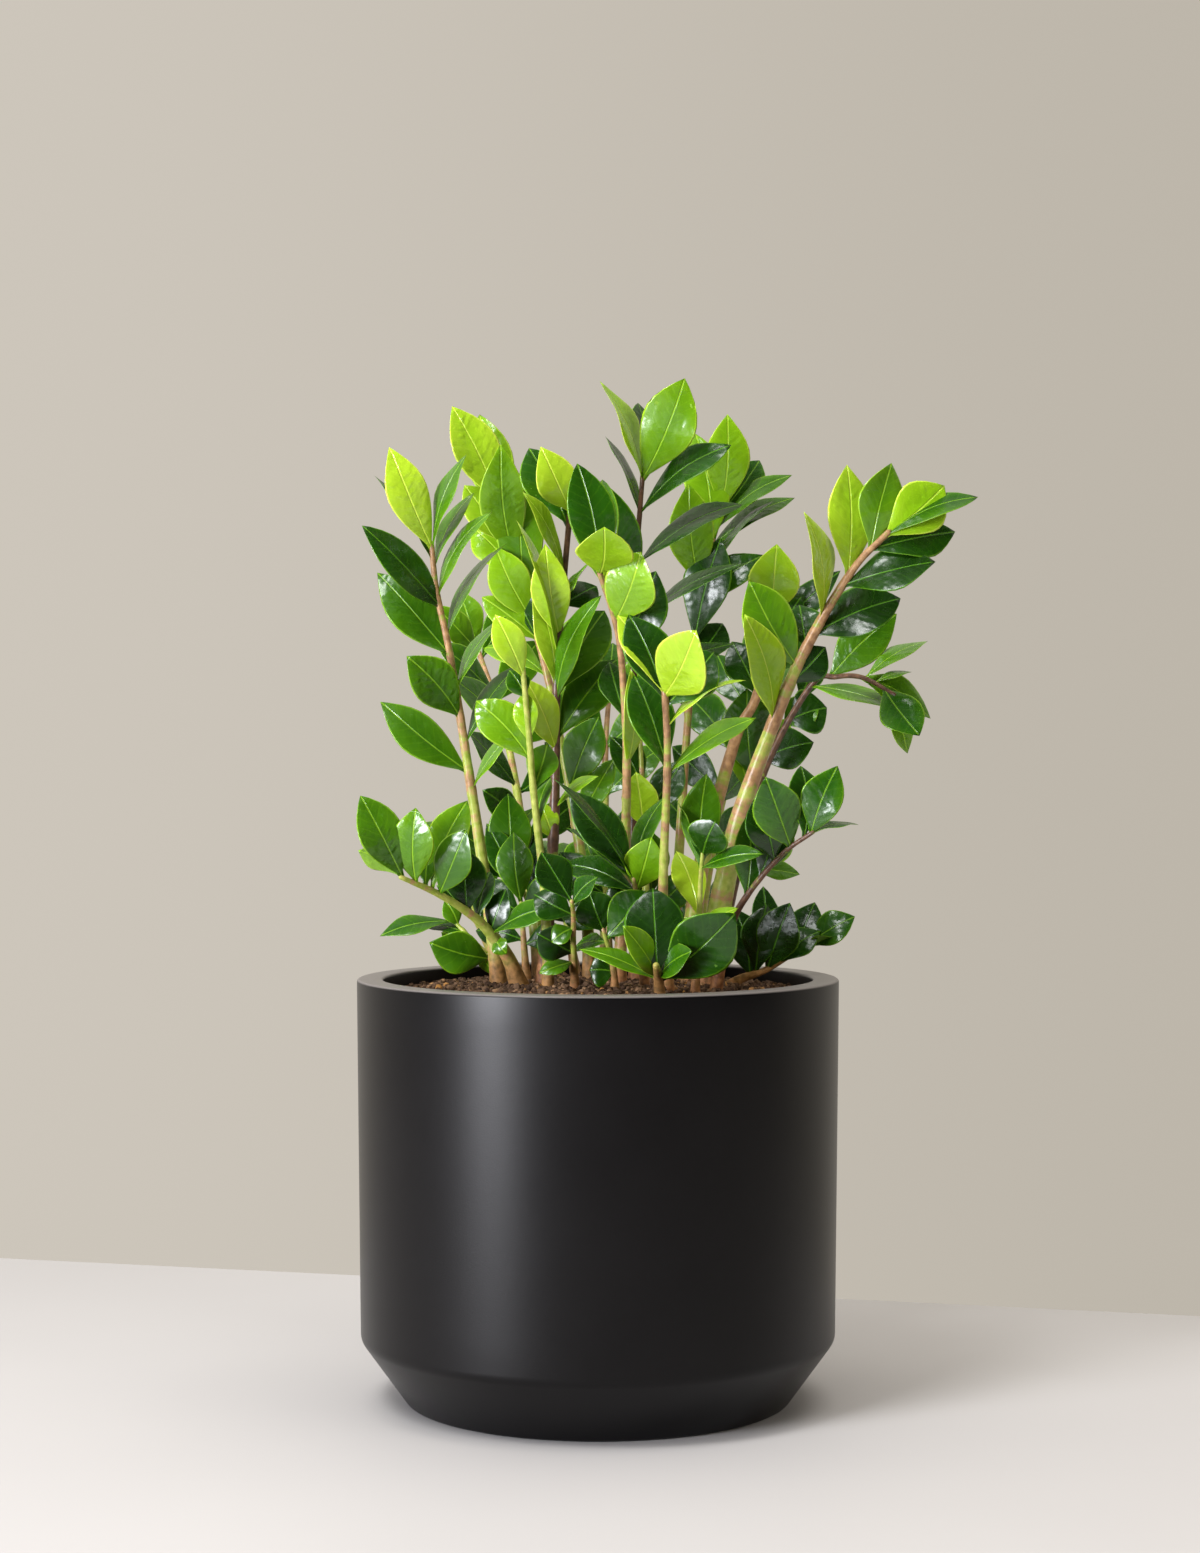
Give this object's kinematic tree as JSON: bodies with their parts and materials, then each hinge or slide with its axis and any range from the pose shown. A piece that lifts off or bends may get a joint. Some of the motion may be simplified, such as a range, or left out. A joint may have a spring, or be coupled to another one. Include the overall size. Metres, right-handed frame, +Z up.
{
  "type": "potted zz plant",
  "caption": "Potted ZZ plant with arching fronds of glossy oval leaflets in a matte black round planter with a chamfered foot.",
  "frame": {"origin": "centre of the planter's flat underside, on the surface it stands on", "axes": "+Z up, along the planter's axis; -Y to the front, where the plant shows its widest side; +X to the right as seen from the front"},
  "size_m": [0.3857, 0.3552, 0.6467],
  "materials": {
    "planter": "matte black, smooth",
    "soil": "dark crumbly potting mix",
    "leaf": "glossy green leaflets on yellow-green to brown stalks"
  },
  "bodies": {
    "root": {"planter": "planter", "soil": "soil", "frond_left_tall": "leaf", "frond_back_left": "leaf", "frond_centre_left": "leaf", "frond_thin_left": "leaf", "frond_centre": "leaf", "frond_tall": "leaf", "frond_back_right": "leaf", "frond_front_short": "leaf", "frond_right_big": "leaf", "frond_right_arching": "leaf", "frond_right_inner": "leaf", "frond_right_back": "leaf", "frond_right_low": "leaf", "frond_right_lowest": "leaf", "frond_left_low": "leaf", "frond_left_lowest": "leaf", "frond_left_middle": "leaf", "frond_centre_low": "leaf", "frond_front_right": "leaf", "frond_front_left": "leaf", "frond_left_inner": "leaf", "frond_right_front": "leaf", "frond_low_left": "leaf", "frond_low_centre": "leaf", "frond_low_right": "leaf", "frond_middle": "leaf", "frond_rear_left": "leaf", "frond_rear_centre": "leaf", "frond_rear_right": "leaf", "frond_rear_left_low": "leaf", "frond_rear_centre_low": "leaf", "frond_rear_right_low": "leaf"}
  },
  "joints": []
}
